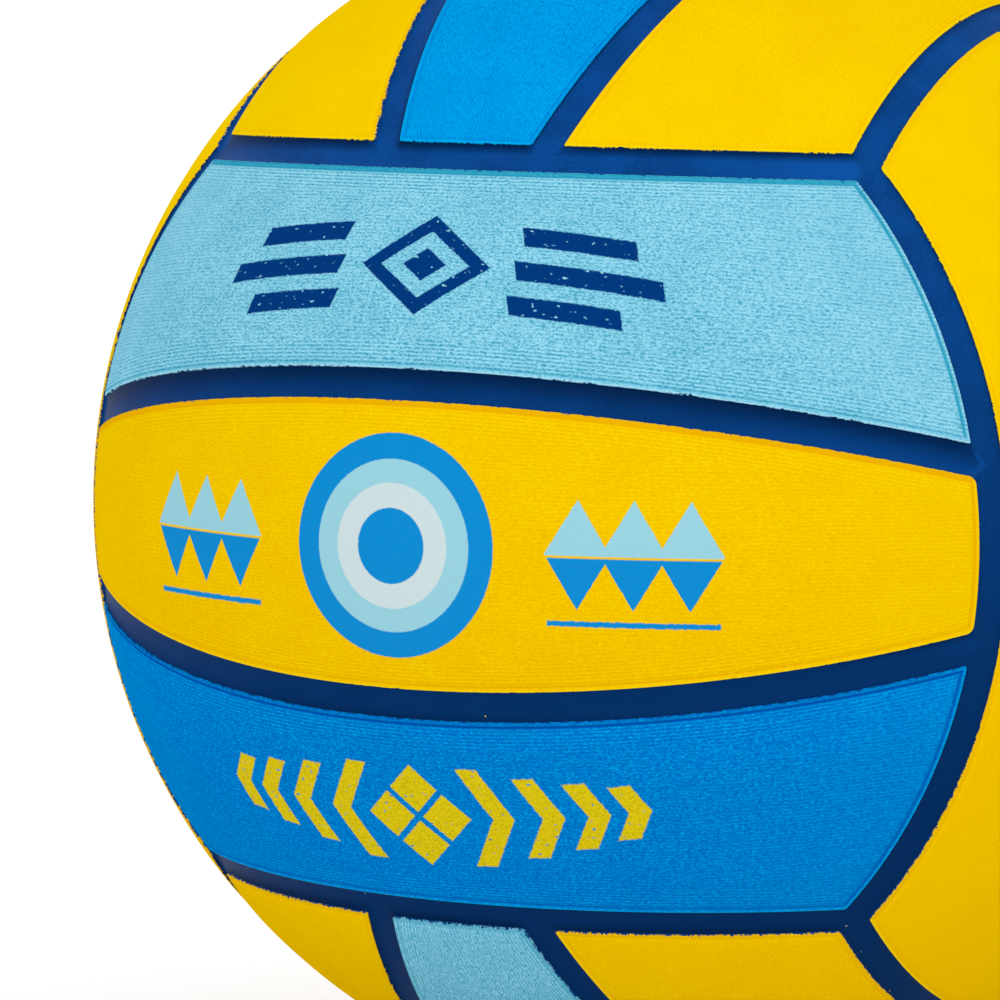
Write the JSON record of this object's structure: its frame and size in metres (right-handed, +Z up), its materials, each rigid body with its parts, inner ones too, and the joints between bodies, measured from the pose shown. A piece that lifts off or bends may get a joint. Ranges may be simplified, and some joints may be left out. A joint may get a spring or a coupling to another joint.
{
  "type": "water polo ball",
  "caption": "Inflated rubber ball for water polo, with strip panels in recessed channels over a ribbed carcass, wound bladder and needle valve.",
  "frame": {"origin": "centre of the ball", "axes": "+Z up, -Y towards the front group of panels, +X towards the right group, +Y along the valve outwards"},
  "size_m": [0.2212, 0.2211, 0.2207],
  "materials": {
    "panel_yellow": "matte",
    "panel_light_blue": "matte",
    "panel_blue": "matte",
    "carcass": "matte",
    "bladder": "matte",
    "winding": "matte",
    "valve_body": "matte",
    "valve_core": "matte"
  },
  "bodies": {
    "root": {"bladder": "bladder", "thread_winding": "winding", "carcass": "carcass", "valve_body": "valve_body", "valve_core": "valve_core", "front_upper_panel": "panel_light_blue", "front_middle_panel": "panel_yellow", "front_lower_panel": "panel_blue", "back_upper_panel": "panel_light_blue", "back_middle_panel": "panel_yellow", "back_lower_panel": "panel_blue", "right_front_panel": "panel_yellow", "right_middle_panel": "panel_light_blue", "right_rear_panel": "panel_yellow", "left_front_panel": "panel_yellow", "left_middle_panel": "panel_blue", "left_rear_panel": "panel_yellow", "top_left_panel": "panel_yellow", "top_middle_panel": "panel_blue", "top_right_panel": "panel_yellow", "bottom_left_panel": "panel_yellow", "bottom_middle_panel": "panel_light_blue", "bottom_right_panel": "panel_yellow"}
  },
  "joints": []
}
